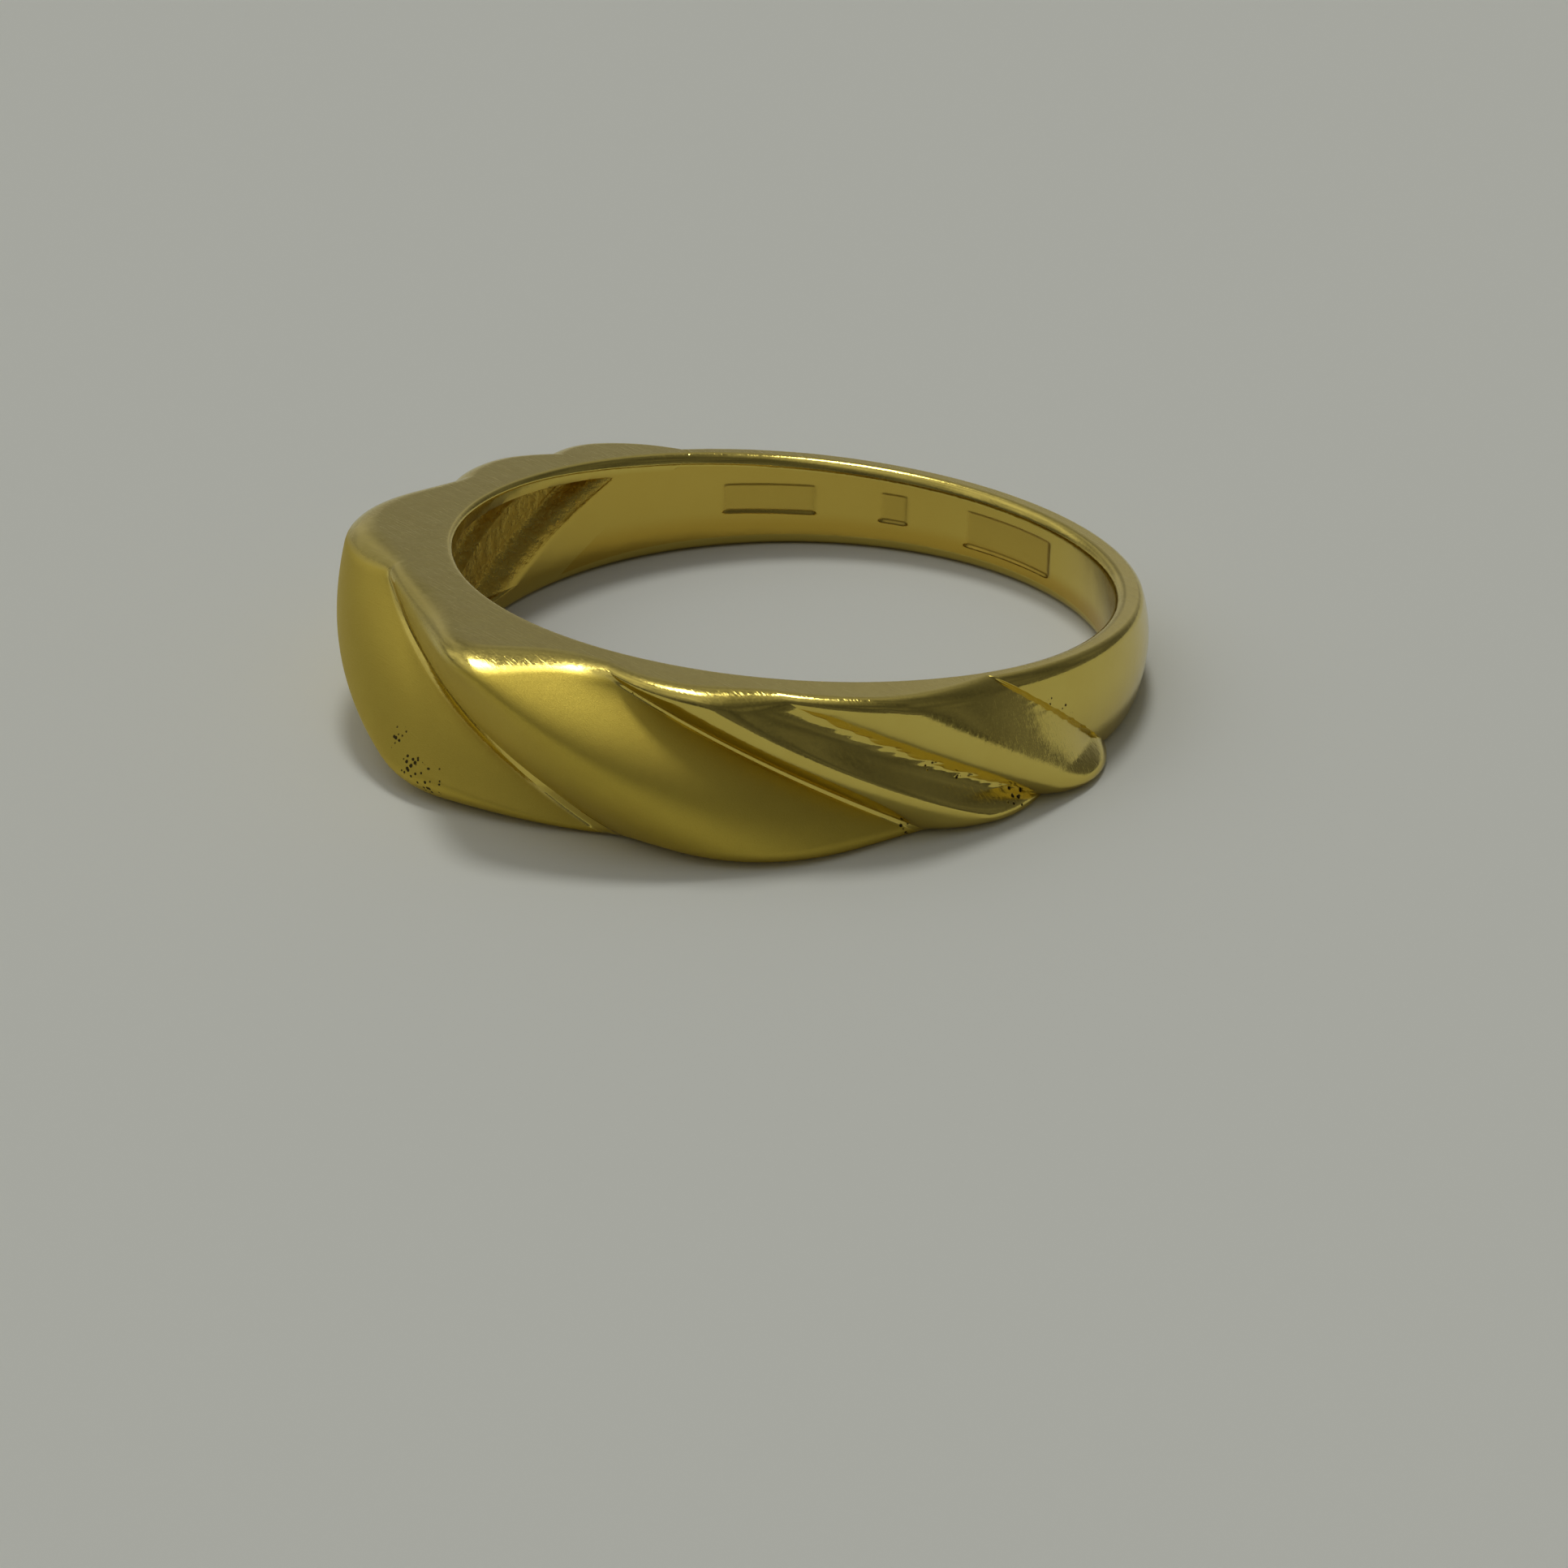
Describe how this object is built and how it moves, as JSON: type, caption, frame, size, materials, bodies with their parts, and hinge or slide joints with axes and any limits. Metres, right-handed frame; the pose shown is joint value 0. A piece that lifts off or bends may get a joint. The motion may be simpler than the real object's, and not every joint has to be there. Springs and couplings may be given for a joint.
{
  "type": "wedding band",
  "caption": "Tapered finger ring with a rope-carved head of broad satin lobes and narrow polished ridges, running back into a plain polished band.",
  "frame": {"origin": "centre of the finger bore, halfway between the side faces", "axes": "+Z is the upward normal of the lower side face that the ring lies on; -Y points to the middle of the carved head; +X points to its right-hand lobes. The bore axis leans 3.4 degrees from +Z towards +Y."},
  "size_m": [0.0204, 0.0212, 0.0045],
  "materials": {
    "polished_gold": "polished",
    "satin_gold": "satin"
  },
  "bodies": {
    "root": {"shank": "polished_gold", "right_satin_lobe": "satin_gold", "right_ridge_lobe": "polished_gold", "right_end_lobe": "polished_gold", "left_satin_lobe": "satin_gold", "left_ridge_lobe": "polished_gold", "left_end_lobe": "polished_gold"}
  },
  "joints": []
}
